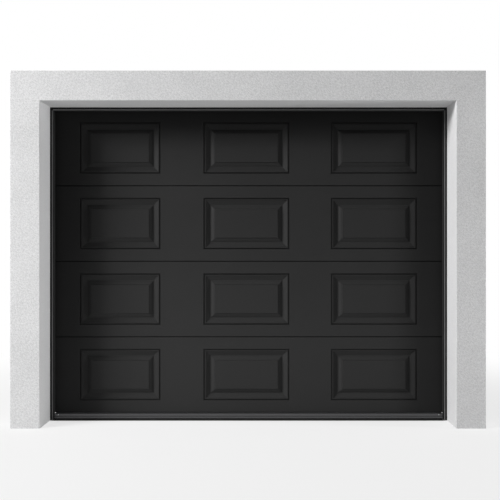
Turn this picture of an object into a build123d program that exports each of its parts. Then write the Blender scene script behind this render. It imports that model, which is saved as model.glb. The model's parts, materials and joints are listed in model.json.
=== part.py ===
from build123d import *
import math
import os

# Sectional garage door in a rendered masonry surround.
# Millimetres. X runs to the right as seen from outside, Y runs into the garage,
# Z runs up. The floor is Z = 0 and the middle of the leaf's thickness is Y = 0.

# Masonry surround
opening_width = 2795.0
opening_height = 2203.0
wall_depth = 240.0
pier_width = 201.0
lintel_height = 200.0
arris_radius = 5.0

# Steel frame fixed to the back of the wall
frame_sheet = 2.0
frame_show = 22.0
frame_bead_width = 8.0
frame_bead_rise = 6.0
frame_cover = 65.0
frame_return = 22.0
frame_web_depth = 110.0
frame_top_gap = 10.0
head_frame_height = 90.0
head_flange_depth = 30.0
frame_bend_radius = 1.5

# Rubber lips between frame and leaf
seal_reach = 23.0
seal_width = 8.0
seal_lip = 2.5
seal_touch_gap = 0.2

# Leaf
section_count = 4
leaf_bottom = 46.0
head_cover = 11.0
leaf_thickness = 40.0
leaf_overlap = 20.0
seam_gap = 5.0
edge_radius = 3.0
tongue_width = 20.0
tongue_height = 7.5
tongue_clearance = 1.0
back_groove_depth = 2.5
back_groove_width = 14.0
back_groove_count = 3

# Raised cassettes pressed into the front face
cassette_width = 610.0
narrow_cassette_width = 571.0
left_cassette_inset = 177.5
right_cassette_inset = 180.5
middle_cassette_centre = -16.0
cassette_margin = 86.0
border_width = 82.0
pressing_draft = 1.0
outer_groove_width = 9.5
outer_groove_depth = 10.0
bead_width = 6.0
bead_depth = 1.0
bead_step = 4.0
slope_width = 27.0
valley_width = 10.0
valley_depth = 18.0
valley_rounding = 1.5
shelf_width = 4.0
shelf_fall = 0.5
inner_step_width = 1.5
inner_step_depth = 6.5
rise_bulge = 1.5

# Aluminium bottom rail and its rubber
rail_end_gap = 4.0
rail_projection = 30.0
rail_shadow_gap = 3.0
rail_shadow_depth = 7.0
rail_wall = 3.0
rail_edge = 1.5
rail_groove_height = 5.0
rail_groove_depth = 4.0
bottom_seal_height = 9.0
bottom_seal_front_gap = 4.0
bottom_seal_back_gap = 3.0
bottom_seal_round = 7.0
bottom_seal_wall = 2.5

# End caps and stiles on the back of the leaf
cap_sheet = 2.0
cap_flange = 72.0
stile_width = 70.0
stile_centre = 465.0
cap_end_gap = 3.0

# Hinges between the sections
hinge_width = 60.0
hinge_plate = 3.0
hinge_leaf_height = 55.0
hinge_axis_offset = 8.0
knuckle_radius = 6.0
knuckle_length = 20.0
knuckle_gap = 0.4
hinge_pin_radius = 3.0
hinge_pin_clearance = 0.1
hinge_root_gap = 7.0

# Rollers and their brackets
roller_offset = 38.0
wheel_radius = 22.0
wheel_width = 14.0
stem_radius = 5.0
stem_clearance = 0.1
stem_length = 100.0
carrier_plate = 3.0
carrier_width = 50.0
carrier_height = 60.0
carrier_rise = 92.0
carrier_nose = 9.0
bottom_carrier_height = 110.0
bottom_roller_rise = 85.0
top_roller_drop = 95.0
cable_pin_radius = 4.0
cable_pin_rise = 46.0
cable_pin_head = 6.5
cable_pin_head_thickness = 2.0

# Tracks
track_gap = 13.0
track_sheet = 2.0
wheel_near_gap = 3.0
wheel_far_gap = 11.0
track_play = 1.0
track_lip = 6.0
track_radius = 300.0
track_rise = 35.0
track_run_saving = 90.0
bracket_plate = 3.0
bracket_height = 50.0
bracket_foot = 37.0
bracket_reach = 33.0
bracket_count = 4
first_bracket_height = 250.0
last_bracket_drop = 85.0
support_angle_drop = 20.0
support_angle_height = 75.0
support_angle_width = 33.0
crossbar_leg = 40.0
crossbar_inset = 70.0
hanger_height = 110.0
hanger_width = 34.0
hanger_foot = 60.0
hanger_hole_radius = 4.5
hanger_hole_spacing = 30.0

# Torsion shaft, springs and drums
shaft_rise = 85.0
shaft_radius = 12.7
shaft_wall = 3.0
shaft_overhang = 8.0
bore_clearance = 0.2
drum_radius = 55.0
drum_flange = 62.0
drum_core_width = 24.0
drum_flange_width = 3.5
drum_hub_radius = 24.0
drum_hub_reach = 14.0
cable_radius = 1.5
cable_touch_gap = 0.2
cable_gap = 5.0
cable_stem_gap = 10.0
eye_radius = 7.0
eye_half_width = 2.2
spring_outer_radius = 30.0
spring_inner_radius = 24.0
spring_length = 728.0
cone_flange_radius = 35.0
cone_flange_width = 8.0
cone_body = 60.0
cone_boss = 58.0
cone_boss_radius = 22.0
cone_fit_gap = 0.2
centre_arm = 8.0
centre_plate_width = 90.0
centre_plate_thickness = 5.0
centre_plate_drop = 50.0
centre_plate_height = 110.0
end_plate_drop = 85.0
end_plate_rise = 55.0
end_plate_reach = 340.0
bearing_radius = 20.0
bearing_reach = 6.0

# Places that follow from the values above
half_opening = opening_width / 2
outer_half = half_opening + pier_width
leaf_front = -leaf_thickness / 2
leaf_back = leaf_thickness / 2
wall_back = leaf_front - seal_reach - frame_return
wall_front = wall_back - wall_depth
overall_height = opening_height + lintel_height
frame_inner = half_opening - frame_show
frame_outer = half_opening + frame_cover
head_edge = opening_height - frame_show
leaf_half = frame_inner + leaf_overlap
body_half = leaf_half - cap_sheet
cap_back = leaf_back + cap_sheet
leaf_top = head_edge + head_cover
section_pitch = (leaf_top - leaf_bottom) / section_count
left_cassette_centre = left_cassette_inset + narrow_cassette_width / 2 - frame_inner
right_cassette_centre = frame_inner - right_cassette_inset - cassette_width / 2
roller_line = cap_back + roller_offset
end_hinge_x = leaf_half - cap_flange / 2
track_inner_x = leaf_half + track_gap
wheel_x = track_inner_x + track_sheet + wheel_near_gap
track_outer_x = wheel_x + wheel_width + wheel_far_gap + track_sheet
track_half = wheel_radius + track_play
track_centre_height = opening_height + track_rise
track_run = leaf_top - leaf_bottom - track_run_saving
curve_y = roller_line + track_radius
curve_z = track_centre_height - track_radius
track_end = curve_y + track_run
bottom_roller_height = leaf_bottom + bottom_roller_rise
top_roller_height = leaf_top - top_roller_drop
cable_pin_height = leaf_bottom + cable_pin_rise
last_bracket_height = curve_z - last_bracket_drop
support_angle_low = track_centre_height - support_angle_drop
support_angle_top = support_angle_low + support_angle_height
cable_x = leaf_half + cable_gap
cable_y = roller_line - stem_radius - cable_stem_gap
shaft_y = cable_y + drum_radius
shaft_height = track_centre_height + shaft_rise
end_plate_bottom = track_centre_height - end_plate_drop
end_plate_top = shaft_height + end_plate_rise
frame_top = end_plate_top + frame_top_gap
carrier_out = end_hinge_x + carrier_width / 2


def prism_x(points, x_from, x_to):
    """Extrudes a closed outline of (y, z) points along X."""
    outline = Plane.YZ * make_face(Polyline(*points, close=True))
    return Pos(x_from, 0, 0) * extrude(outline, x_to - x_from)


def prism_z(points, z_from, z_to):
    """Extrudes a closed outline of (x, y) points along Z."""
    outline = make_face(Polyline(*points, close=True))
    return Pos(0, 0, z_from) * extrude(outline, z_to - z_from)


def block(x_from, x_to, y_from, y_to, z_from, z_to):
    """Box given by its six faces."""
    box = Box(x_to - x_from, y_to - y_from, z_to - z_from)
    return Pos((x_from + x_to) / 2, (y_from + y_to) / 2, (z_from + z_to) / 2) * box


def rod_x(x_from, x_to, y, z, radius):
    """Round bar along X."""
    rod = Rot(0, 90, 0) * Cylinder(radius, x_to - x_from)
    return Pos((x_from + x_to) / 2, y, z) * rod


def tube_x(x_from, x_to, y, z, radius, bore):
    """Round tube along X."""
    return rod_x(x_from, x_to, y, z, radius) - rod_x(x_from - 1, x_to + 1, y, z, bore)


def other_side(shape):
    """The same piece on the left."""
    return mirror(shape, about=Plane.YZ)


def save(name, *shapes):
    """Writes one node; like pieces in it stay separate solids."""
    solids = []
    for shape in shapes:
        solids.extend(shape.solids())
    export_step(Compound(solids) if len(solids) > 1 else solids[0], f"parts/{name}.step")


# Surround
def pier():
    body = block(half_opening, outer_half, wall_front, wall_back, 0, opening_height)
    front_edges = body.edges().filter_by(Axis.Z).group_by(Axis.Y)[0]
    return fillet(front_edges, arris_radius)


def lintel():
    body = block(-outer_half, outer_half, wall_front, wall_back, opening_height, overall_height)
    front = body.edges().group_by(Axis.Y)[0]
    corners = front.filter_by(Axis.Z)
    top = front.filter_by(Axis.X).group_by(Axis.Z)[-1]
    return fillet(corners + top, arris_radius)


# Frame
def frame_side():
    """Folded post: a return that carries the seal, a face on the wall, a deep web."""
    back = wall_back + frame_sheet
    points = [
        (frame_inner, wall_back),
        (frame_outer, wall_back),
        (frame_outer, wall_back + frame_web_depth),
        (frame_outer - frame_sheet, wall_back + frame_web_depth),
        (frame_outer - frame_sheet, back),
        (frame_inner + frame_sheet, back),
        (frame_inner + frame_sheet, wall_back + frame_return),
        (frame_inner, wall_back + frame_return),
    ]
    post = prism_z(points, 0, frame_top)
    folds = post.edges().filter_by(Axis.Z).group_by(Axis.Y)[0]
    post = fillet(folds[1:], frame_bend_radius)
    front = wall_back - frame_bead_rise
    inner = frame_inner
    return post + block(inner, inner + frame_bead_width, front, wall_back, 0, head_edge)


def frame_head():
    back = wall_back + frame_sheet
    top = head_edge + head_frame_height
    points = [
        (wall_back, head_edge),
        (wall_back, top),
        (wall_back + head_flange_depth, top),
        (wall_back + head_flange_depth, top - frame_sheet),
        (back, top - frame_sheet),
        (back, head_edge + frame_sheet),
        (wall_back + frame_return, head_edge + frame_sheet),
        (wall_back + frame_return, head_edge),
    ]
    head = prism_x(points, -frame_inner, frame_inner)
    front = wall_back - frame_bead_rise
    high = head_edge + frame_bead_width
    return head + block(-frame_inner, frame_inner, front, wall_back, head_edge, high)


def seal_outline():
    """Lip seal as (across, depth): a foot on the frame's return, a lip on the leaf."""
    foot = wall_back + frame_return
    tip = leaf_front - seal_touch_gap
    return [
        (0, foot),
        (seal_width, foot),
        (seal_width, foot + seal_width * 0.7),
        (seal_lip * 1.6, foot + seal_width),
        (seal_lip * 0.8, tip),
        (-seal_lip * 0.4, tip),
        (seal_lip * 0.2, foot + seal_width),
    ]


def side_seal():
    points = [(frame_inner + across, depth) for across, depth in seal_outline()]
    return prism_z(points, 0, head_edge)


def head_seal():
    points = [(depth, head_edge + max(across, 0)) for across, depth in seal_outline()]
    return prism_x(points, -frame_inner - seal_width, frame_inner + seal_width)


# Sections of the leaf
def section_outline(z_low, z_high, groove, tongue):
    """Cross-section of one section: tongue on top, matching groove below."""
    low = z_low + (seam_gap / 2 if groove else 0)
    high = z_high - (seam_gap / 2 if tongue else 0)
    half = tongue_width / 2
    wide = half + tongue_clearance
    rise = tongue_height + tongue_clearance
    lines = Curve()
    if groove:
        lines += Polyline((leaf_front, low), (-wide, low))
        lines += ThreePointArc((-wide, low), (0, low + rise), (wide, low))
        lines += Polyline((wide, low), (leaf_back, low))
    else:
        lines += Polyline((leaf_front, low), (leaf_back, low))
    back = [(leaf_back, low)]
    for index in range(back_groove_count):
        middle = low + (high - low) * (index + 1) / (back_groove_count + 1)
        back.append((leaf_back, middle - back_groove_width / 2))
        back.append((leaf_back - back_groove_depth, middle - back_groove_width / 4))
        back.append((leaf_back - back_groove_depth, middle + back_groove_width / 4))
        back.append((leaf_back, middle + back_groove_width / 2))
    back.append((leaf_back, high))
    lines += Polyline(*back)
    if tongue:
        lines += Polyline((leaf_back, high), (half, high))
        lines += ThreePointArc((half, high), (0, high + tongue_height), (-half, high))
        lines += Polyline((-half, high), (leaf_front, high))
    else:
        lines += Polyline((leaf_back, high), (leaf_front, high))
    lines += Line((leaf_front, high), (leaf_front, low))
    return make_face(lines)


def moulding_ring(width, height):
    """Mitred cutter for one cassette border, swept round the cassette's outline."""
    bead_end = outer_groove_width + bead_width
    slope_start = bead_end + pressing_draft
    slope_depth = bead_depth + bead_step
    valley = slope_start + slope_width
    rise = valley + valley_width
    step = border_width - inner_step_width
    shelf = step - shelf_width
    shelf_depth = inner_step_depth + shelf_fall
    rise_depth = (valley_depth + shelf_depth) / 2 - rise_bulge
    lines = Polyline(
        (-1, 0),
        (0, 0),
        (outer_groove_depth, pressing_draft),
        (outer_groove_depth, outer_groove_width - pressing_draft),
        (bead_depth, outer_groove_width),
        (bead_depth, bead_end),
        (slope_depth, slope_start),
        (valley_depth, valley),
    )
    lines += ThreePointArc(
        (valley_depth, valley),
        (valley_depth + valley_rounding, valley + valley_width / 2),
        (valley_depth, rise),
    )
    lines += ThreePointArc(
        (valley_depth, rise), (rise_depth, (rise + shelf) / 2), (shelf_depth, shelf)
    )
    lines += Polyline(
        (shelf_depth, shelf),
        (inner_step_depth, step),
        (0, border_width),
        (-1, border_width),
        (-1, 0),
    )
    profile = Plane.YZ * make_face(lines)
    path = Polyline(
        (0, 0, 0),
        (width / 2, 0, 0),
        (width / 2, 0, height),
        (-width / 2, 0, height),
        (-width / 2, 0, 0),
        (0, 0, 0),
    )
    return sweep(profile, path=path, transition=Transition.RIGHT)


def section(index):
    z_low = leaf_bottom + index * section_pitch
    z_high = z_low + section_pitch
    outline = Plane.YZ * section_outline(z_low, z_high, index > 0, index < section_count - 1)
    body = Pos(-body_half, 0, 0) * extrude(outline, 2 * body_half)
    front_edges = body.edges().filter_by(Axis.X).group_by(Axis.Y)[0]
    body = fillet(front_edges, edge_radius)
    height = section_pitch - 2 * cassette_margin
    at = z_low + cassette_margin
    body -= Pos(left_cassette_centre, leaf_front, at) * moulding_ring(narrow_cassette_width, height)
    for centre in (middle_cassette_centre, right_cassette_centre):
        body -= Pos(centre, leaf_front, at) * moulding_ring(cassette_width, height)
    return body


# Bottom edge of the leaf
def bottom_rail():
    """Hollow extrusion under the leaf with two ridges along its front."""
    front = leaf_front - rail_projection
    low = bottom_seal_height
    ledge = leaf_bottom - rail_shadow_gap
    middle = (low + ledge) / 2
    seat = leaf_front + rail_shadow_depth
    groove_back = front + rail_groove_depth
    groove_low = middle - rail_groove_height / 2
    groove_high = middle + rail_groove_height / 2
    points = [
        (leaf_back, low),
        (leaf_back, leaf_bottom),
        (seat, leaf_bottom),
        (seat, ledge),
        (front + rail_edge, ledge),
        (front, ledge - rail_edge),
        (front, groove_high + rail_edge),
        (groove_back, groove_high),
        (groove_back, groove_low),
        (front, groove_low - rail_edge),
        (front, low + rail_edge),
        (front + rail_edge, low),
    ]
    half = frame_inner - rail_end_gap
    rail = prism_x(points, -half, half)
    hollow_front = groove_back + rail_wall
    hollow = block(
        -half - 1, half + 1, hollow_front, leaf_back - rail_wall, low + rail_wall, ledge - rail_wall
    )
    return rail - hollow


def bottom_seal():
    """Hollow rubber strip that the rail presses on the floor."""
    front = leaf_front - rail_projection + bottom_seal_front_gap
    back = leaf_back - bottom_seal_back_gap
    high = bottom_seal_height
    shoulder = high * 0.7
    swell = high * 0.3
    curl = bottom_seal_round * 0.2
    lines = Polyline((back - bottom_seal_round, 0), (front + bottom_seal_round, 0))
    lines += ThreePointArc((front + bottom_seal_round, 0), (front + curl, swell), (front, shoulder))
    lines += Polyline((front, shoulder), (front, high), (back, high), (back, shoulder))
    lines += ThreePointArc((back, shoulder), (back - curl, swell), (back - bottom_seal_round, 0))
    outline = Plane.YZ * make_face(lines)
    half = frame_inner - rail_end_gap
    strip = Pos(-half, 0, 0) * extrude(outline, 2 * half)
    inner = bottom_seal_round
    low = bottom_seal_wall
    return strip - block(-half - 1, half + 1, front + inner, back - inner, low, high - low)


# Steel on the back of the sections
def section_limits(index):
    low = leaf_bottom + index * section_pitch + cap_end_gap
    return low, low + section_pitch - 2 * cap_end_gap


def end_cap(index):
    low, high = section_limits(index)
    points = [
        (body_half, leaf_front),
        (leaf_half, leaf_front),
        (leaf_half, cap_back),
        (leaf_half - cap_flange, cap_back),
        (leaf_half - cap_flange, leaf_back),
        (body_half, leaf_back),
    ]
    return prism_z(points, low, high)


def stile(index):
    low, high = section_limits(index)
    half = stile_width / 2
    return block(stile_centre - half, stile_centre + half, leaf_back, cap_back, low, high)


# Hinges
def hinge_leaf(upper):
    """One leaf of a hinge about an axis at Z = 0; the upper one has two knuckles."""
    axis_y = cap_back + hinge_axis_offset
    half = hinge_width / 2
    inner = knuckle_length / 2 + knuckle_gap
    front, back = cap_back, cap_back + hinge_plate
    if upper:
        plate = block(-half, half, front, back, hinge_root_gap, hinge_root_gap + hinge_leaf_height)
        spans = [(-half, -inner), (inner, half)]
        tab_low, tab_high = 0, hinge_root_gap
    else:
        plate = block(-half, half, front, back, -hinge_root_gap - hinge_leaf_height, -hinge_root_gap)
        spans = [(-knuckle_length / 2, knuckle_length / 2)]
        tab_low, tab_high = -hinge_root_gap, 0
    for x_from, x_to in spans:
        plate += block(x_from, x_to, front, back, tab_low, tab_high)
        plate += rod_x(x_from, x_to, axis_y, 0, knuckle_radius)
    bore = hinge_pin_radius + hinge_pin_clearance
    return plate - rod_x(-half - 1, half + 1, axis_y, 0, bore)


def hinge_pin():
    axis_y = cap_back + hinge_axis_offset
    half = hinge_width / 2
    head = hinge_pin_radius + 1.5
    pin = rod_x(-half - 1, half + 1, axis_y, 0, hinge_pin_radius)
    pin += rod_x(-half - 3, -half, axis_y, 0, head)
    pin += rod_x(half, half + 3, axis_y, 0, head)
    return pin


def at_seams(shape):
    """Copies of a hinge piece at each seam, at both ends and on both stiles."""
    copies = []
    for index in range(1, section_count):
        height = leaf_bottom + index * section_pitch
        for x in (-end_hinge_x, -stile_centre, stile_centre, end_hinge_x):
            copies.append(Pos(x, 0, height) * shape)
    return copies


# Rollers and what holds them
def carrier(axis_y, z, low, high):
    """Pressed bracket: a foot on the end cap and two cheeks that hold the stem."""
    x_from = end_hinge_x - carrier_width / 2
    foot = cap_back + carrier_plate
    nose = axis_y + carrier_nose
    body = block(x_from, carrier_out, cap_back, foot, low, high)
    outline = [
        (cap_back, low),
        (nose - carrier_nose, z - carrier_nose),
        (nose, z - carrier_nose / 2),
        (nose, z + carrier_nose / 2),
        (nose - carrier_nose, z + carrier_nose),
        (cap_back, high),
    ]
    for left in (x_from, carrier_out - carrier_plate):
        body += prism_x(outline, left, left + carrier_plate)
    bore = stem_radius + stem_clearance
    return body - rod_x(x_from - 1, carrier_out + 1, axis_y, z, bore)


def seam_roller_heights():
    return [leaf_bottom + index * section_pitch + carrier_rise for index in range(1, section_count)]


def side_carriers():
    half = carrier_height / 2 - 6
    return [carrier(roller_line, z, z - half, z + half) for z in seam_roller_heights()]


def top_roller_y():
    """The top roller sits on the bend of the track."""
    rise = top_roller_height - curve_z
    return curve_y - math.sqrt(track_radius**2 - rise**2)


def top_carrier():
    half = carrier_height / 2
    return carrier(top_roller_y(), top_roller_height, top_roller_height - half, top_roller_height + half)


def bottom_bracket():
    low = bottom_roller_height - bottom_carrier_height / 2 - 10
    high = bottom_roller_height + bottom_carrier_height / 2 - 20
    body = carrier(roller_line, bottom_roller_height, low, high)
    ear_x = carrier_out - carrier_plate
    ear = [
        (cap_back, cable_pin_height - 14),
        (cable_y + 8, cable_pin_height - 8),
        (cable_y + 8, cable_pin_height + 8),
        (cap_back, cable_pin_height + 30),
    ]
    body += prism_x(ear, ear_x, carrier_out)
    tip = cable_x + eye_half_width + 0.3
    head_end = tip + cable_pin_head_thickness
    body += rod_x(ear_x, head_end, cable_y, cable_pin_height, cable_pin_radius)
    body += rod_x(tip, head_end, cable_y, cable_pin_height, cable_pin_head)
    return body


def roller_places():
    places = [(roller_line, bottom_roller_height)]
    places += [(roller_line, z) for z in seam_roller_heights()]
    places.append((top_roller_y(), top_roller_height))
    return places


def stems():
    tip = wheel_x + wheel_width + 2
    return [rod_x(tip - stem_length, tip, y, z, stem_radius) for y, z in roller_places()]


def wheels():
    solids = []
    for y, z in roller_places():
        wheel = tube_x(wheel_x, wheel_x + wheel_width, y, z, wheel_radius, stem_radius + stem_clearance)
        rims = wheel.edges().filter_by(GeomType.CIRCLE).sort_by(SortBy.RADIUS)[-2:]
        solids.append(fillet(rims, 2.5))
    return solids


# Tracks and what they hang from
def track_outline():
    """Channel as (x, offset from the roller line), open towards the leaf."""
    inner, outer = track_half, track_half + track_sheet
    lip = track_half - track_lip
    near, far = track_inner_x, track_outer_x
    return [
        (near, lip),
        (near, outer),
        (far, outer),
        (far, -outer),
        (near, -outer),
        (near, -lip),
        (near + track_sheet, -lip),
        (near + track_sheet, -inner),
        (far - track_sheet, -inner),
        (far - track_sheet, inner),
        (near + track_sheet, inner),
        (near + track_sheet, lip),
    ]


def vertical_track():
    points = [(x, roller_line + offset) for x, offset in track_outline()]
    return prism_z(points, 0, curve_z)


def horizontal_track():
    """Quarter bend and the level run that follows it."""
    points = [(x, roller_line + offset) for x, offset in track_outline()]
    face = Pos(0, 0, curve_z) * make_face(Polyline(*points, close=True))
    hub = Axis((0, curve_y, curve_z), (-1, 0, 0))
    bend = revolve(face, hub, 90)
    level = [(x, track_centre_height - offset) for x, offset in track_outline()]
    end = Plane.XZ * make_face(Polyline(*level, close=True))
    run = Pos(0, track_end, 0) * extrude(end, track_run)
    return bend + run


def bracket_outline(reach):
    """Folded strip from the frame's web across to the back of the track."""
    web = frame_outer - frame_sheet
    edge = wall_back + frame_web_depth
    return [
        (web, edge - bracket_foot),
        (web, edge),
        (track_outer_x + bracket_plate, edge),
        (track_outer_x + bracket_plate, edge + reach),
        (track_outer_x, edge + reach),
        (track_outer_x, edge - bracket_plate),
        (web - bracket_plate, edge - bracket_plate),
        (web - bracket_plate, edge - bracket_foot),
    ]


def track_brackets():
    step = (last_bracket_height - first_bracket_height) / (bracket_count - 1)
    solids = []
    for index in range(bracket_count):
        low = first_bracket_height + index * step
        solids.append(prism_z(bracket_outline(bracket_reach), low, low + bracket_height))
    return solids


def end_plate():
    """Tall bracket that carries the shaft's end and the start of the level track."""
    body = prism_z(bracket_outline(end_plate_reach), end_plate_bottom, end_plate_top)
    edge = wall_back + frame_web_depth
    slack = 60.0
    lower = [
        (edge + slack, end_plate_bottom - 1),
        (edge + end_plate_reach + 1, end_plate_bottom - 1),
        (edge + end_plate_reach + 1, track_centre_height - 30),
    ]
    upper = [
        (shaft_y + slack, end_plate_top + 1),
        (edge + end_plate_reach + 1, end_plate_top + 1),
        (edge + end_plate_reach + 1, track_centre_height + 30),
    ]
    for corner in (lower, upper):
        body -= prism_x(corner, track_outer_x - 1, track_outer_x + bracket_plate + 1)
    start = track_outer_x - bearing_reach
    stop = track_outer_x + bracket_plate + bearing_reach
    body += rod_x(start, stop, shaft_y, shaft_height, bearing_radius)
    return body - rod_x(start - 1, stop + 1, shaft_y, shaft_height, shaft_radius + bore_clearance)


def support_angle():
    low, high = support_angle_low, support_angle_top
    near = track_outer_x + bracket_plate
    outline = Polyline(
        (track_outer_x, low),
        (near, low),
        (near, high),
        (near - support_angle_width, high),
        (near - support_angle_width, high - bracket_plate),
        (track_outer_x, high - bracket_plate),
        close=True,
    )
    start = wall_back + frame_web_depth + end_plate_reach + 2
    length = track_end - start
    return Pos(0, track_end, 0) * extrude(Plane.XZ * make_face(outline), length)


def crossbar():
    low = support_angle_top
    front = track_end - crossbar_inset
    points = [
        (front, low),
        (front + crossbar_leg, low),
        (front + crossbar_leg, low + bracket_plate),
        (front + bracket_plate, low + bracket_plate),
        (front + bracket_plate, low + crossbar_leg),
        (front, low + crossbar_leg),
    ]
    reach = track_outer_x + bracket_plate
    return prism_x(points, -reach, reach)


def rear_hanger():
    """Strap from the crossbar up to a foot for the ceiling."""
    front = track_end - crossbar_inset
    low = support_angle_top
    high = low + hanger_height
    points = [
        (front, low),
        (front, high),
        (front - hanger_foot, high),
        (front - hanger_foot, high - bracket_plate),
        (front - bracket_plate, high - bracket_plate),
        (front - bracket_plate, low),
    ]
    x_to = track_outer_x
    body = prism_x(points, x_to - hanger_width, x_to)
    for y in hanger_holes():
        hole = Cylinder(hanger_hole_radius, 4 * bracket_plate)
        body -= Pos(x_to - hanger_width / 2, y, high) * hole
    return body


def hanger_holes():
    middle = track_end - crossbar_inset - bracket_plate - hanger_foot / 2
    return (middle - hanger_hole_spacing / 2, middle + hanger_hole_spacing / 2)


# Counterbalance
def turned_x(points):
    """Solid of revolution about the shaft from (x, radius) points."""
    outline = Polyline(*[(x, 0, radius) for x, radius in points], close=True)
    body = revolve(make_face(outline), Axis.X, 360)
    return Pos(0, shaft_y, shaft_height) * body


def torsion_shaft():
    half = track_outer_x + bracket_plate + bearing_reach + shaft_overhang
    return tube_x(-half, half, shaft_y, shaft_height, shaft_radius, shaft_radius - shaft_wall)


def spring():
    start = centre_arm / 2 + cone_flange_width
    return tube_x(
        start, start + spring_length, shaft_y, shaft_height, spring_outer_radius, spring_inner_radius
    )


def anchor_cone():
    bore = shaft_radius + bore_clearance
    start = centre_arm / 2
    shoulder = start + cone_flange_width
    body = spring_inner_radius - cone_fit_gap
    return turned_x([
        (start, bore),
        (start, cone_flange_radius),
        (shoulder, cone_flange_radius),
        (shoulder, body),
        (shoulder + cone_body - 6, body),
        (shoulder + cone_body, body - 5),
        (shoulder + cone_body, bore),
    ])


def winding_cone():
    bore = shaft_radius + bore_clearance
    end = centre_arm / 2 + cone_flange_width + spring_length
    body = spring_inner_radius - cone_fit_gap
    return turned_x([
        (end - cone_body, bore),
        (end - cone_body, body - 5),
        (end - cone_body + 6, body),
        (end, body),
        (end, spring_outer_radius + 2),
        (end + cone_flange_width, spring_outer_radius + 2),
        (end + cone_flange_width + 6, cone_boss_radius),
        (end + cone_boss, cone_boss_radius),
        (end + cone_boss, bore),
    ])


def centre_bracket():
    half = centre_plate_width / 2
    low = shaft_height - centre_plate_drop
    high = low + centre_plate_height
    back = wall_back + centre_plate_thickness
    body = block(-half, half, wall_back, back, low, high)
    arm = [
        (back - 1, low + 10),
        (shaft_y, shaft_height - 28),
        (shaft_y + 25, shaft_height - 10),
        (shaft_y + 25, shaft_height + 10),
        (shaft_y, shaft_height + 28),
        (back - 1, high - 5),
    ]
    body += prism_x(arm, -centre_arm / 2, centre_arm / 2)
    return body - rod_x(-half, half, shaft_y, shaft_height, shaft_radius + bore_clearance)


def drum():
    bore = shaft_radius + bore_clearance
    core = drum_radius - cable_radius - cable_touch_gap
    near = cable_x - drum_core_width / 2
    far = cable_x + drum_core_width / 2
    return turned_x([
        (near - drum_hub_reach, bore),
        (near - drum_hub_reach, drum_hub_radius),
        (near - drum_flange_width, drum_hub_radius),
        (near - drum_flange_width, drum_flange),
        (near, drum_flange),
        (near, core),
        (far, core),
        (far, drum_flange),
        (far + drum_flange_width, drum_flange),
        (far + drum_flange_width, drum_hub_radius),
        (far + drum_hub_reach, drum_hub_radius),
        (far + drum_hub_reach, bore),
    ])


def lift_cable():
    """Wire rope from the bottom bracket up to the drum and half a turn round it."""
    start = (cable_x, cable_y, cable_pin_height + cable_pin_radius + 1)
    top = (cable_x, cable_y, shaft_height)
    over = (cable_x, shaft_y, shaft_height + drum_radius)
    end = (cable_x, shaft_y + drum_radius, shaft_height)
    path = Line(start, top) + ThreePointArc(top, over, end)
    rope = sweep(Plane(start) * Circle(cable_radius), path=path)
    bore = cable_pin_radius + 0.2
    eye = tube_x(
        cable_x - eye_half_width, cable_x + eye_half_width, cable_y, cable_pin_height, eye_radius, bore
    )
    return rope + eye


def main():
    os.makedirs("parts", exist_ok=True)
    right_pier = pier()
    save("pier_right", right_pier)
    save("pier_left", other_side(right_pier))
    save("lintel", lintel())

    post = frame_side()
    save("frame_side_right", post)
    save("frame_side_left", other_side(post))
    save("frame_head", frame_head())
    lip = side_seal()
    save("side_seals", lip, other_side(lip))
    save("head_seal", head_seal())

    names = ("bottom_section", "lower_section", "upper_section", "top_section")
    for index, name in enumerate(names):
        save(name, section(index))
    save("bottom_rail", bottom_rail())
    save("bottom_seal", bottom_seal())

    caps = [end_cap(index) for index in range(section_count)]
    save("end_caps_right", *caps)
    save("end_caps_left", *[other_side(cap) for cap in caps])
    stiles = [stile(index) for index in range(section_count)]
    save("centre_stiles", *stiles, *[other_side(piece) for piece in stiles])

    save("hinge_lower_leaves", *at_seams(hinge_leaf(False)))
    save("hinge_upper_leaves", *at_seams(hinge_leaf(True)))
    save("hinge_pins", *at_seams(hinge_pin()))

    carriers = side_carriers()
    save("roller_brackets", *carriers, *[other_side(piece) for piece in carriers])
    top = top_carrier()
    save("top_brackets", top, other_side(top))
    foot = bottom_bracket()
    save("bottom_brackets", foot, other_side(foot))
    right_stems = stems()
    save("roller_stems", *right_stems, *[other_side(piece) for piece in right_stems])
    right_wheels = wheels()
    save("roller_wheels", *right_wheels, *[other_side(piece) for piece in right_wheels])

    upright = vertical_track()
    save("vertical_track_right", upright)
    save("vertical_track_left", other_side(upright))
    level = horizontal_track()
    save("horizontal_track_right", level)
    save("horizontal_track_left", other_side(level))
    clips = track_brackets()
    save("track_brackets", *clips, *[other_side(piece) for piece in clips])
    angle = support_angle()
    save("support_angles", angle, other_side(angle))
    save("rear_crossbar", crossbar())
    hanger = rear_hanger()
    save("rear_hangers", hanger, other_side(hanger))

    save("torsion_shaft", torsion_shaft())
    coil = spring()
    save("torsion_springs", coil, other_side(coil))
    anchor = anchor_cone()
    save("anchor_cones", anchor, other_side(anchor))
    winder = winding_cone()
    save("winding_cones", winder, other_side(winder))
    save("centre_bracket", centre_bracket())
    plate = end_plate()
    save("end_plates", plate, other_side(plate))
    reel = drum()
    save("cable_drums", reel, other_side(reel))
    rope = lift_cable()
    save("lift_cables", rope, other_side(rope))


main()
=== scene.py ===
# %% [markdown]
# # A sectional garage door, dressed for a picture
# The door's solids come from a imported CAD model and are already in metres, in the frame of the
# real thing: X to the right, Y into the garage, Z up. This lesson gives every part a finish, adds
# the small things that a solid model leaves out, and lights and frames the whole.

# %% Load the model
import json
import math

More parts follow.
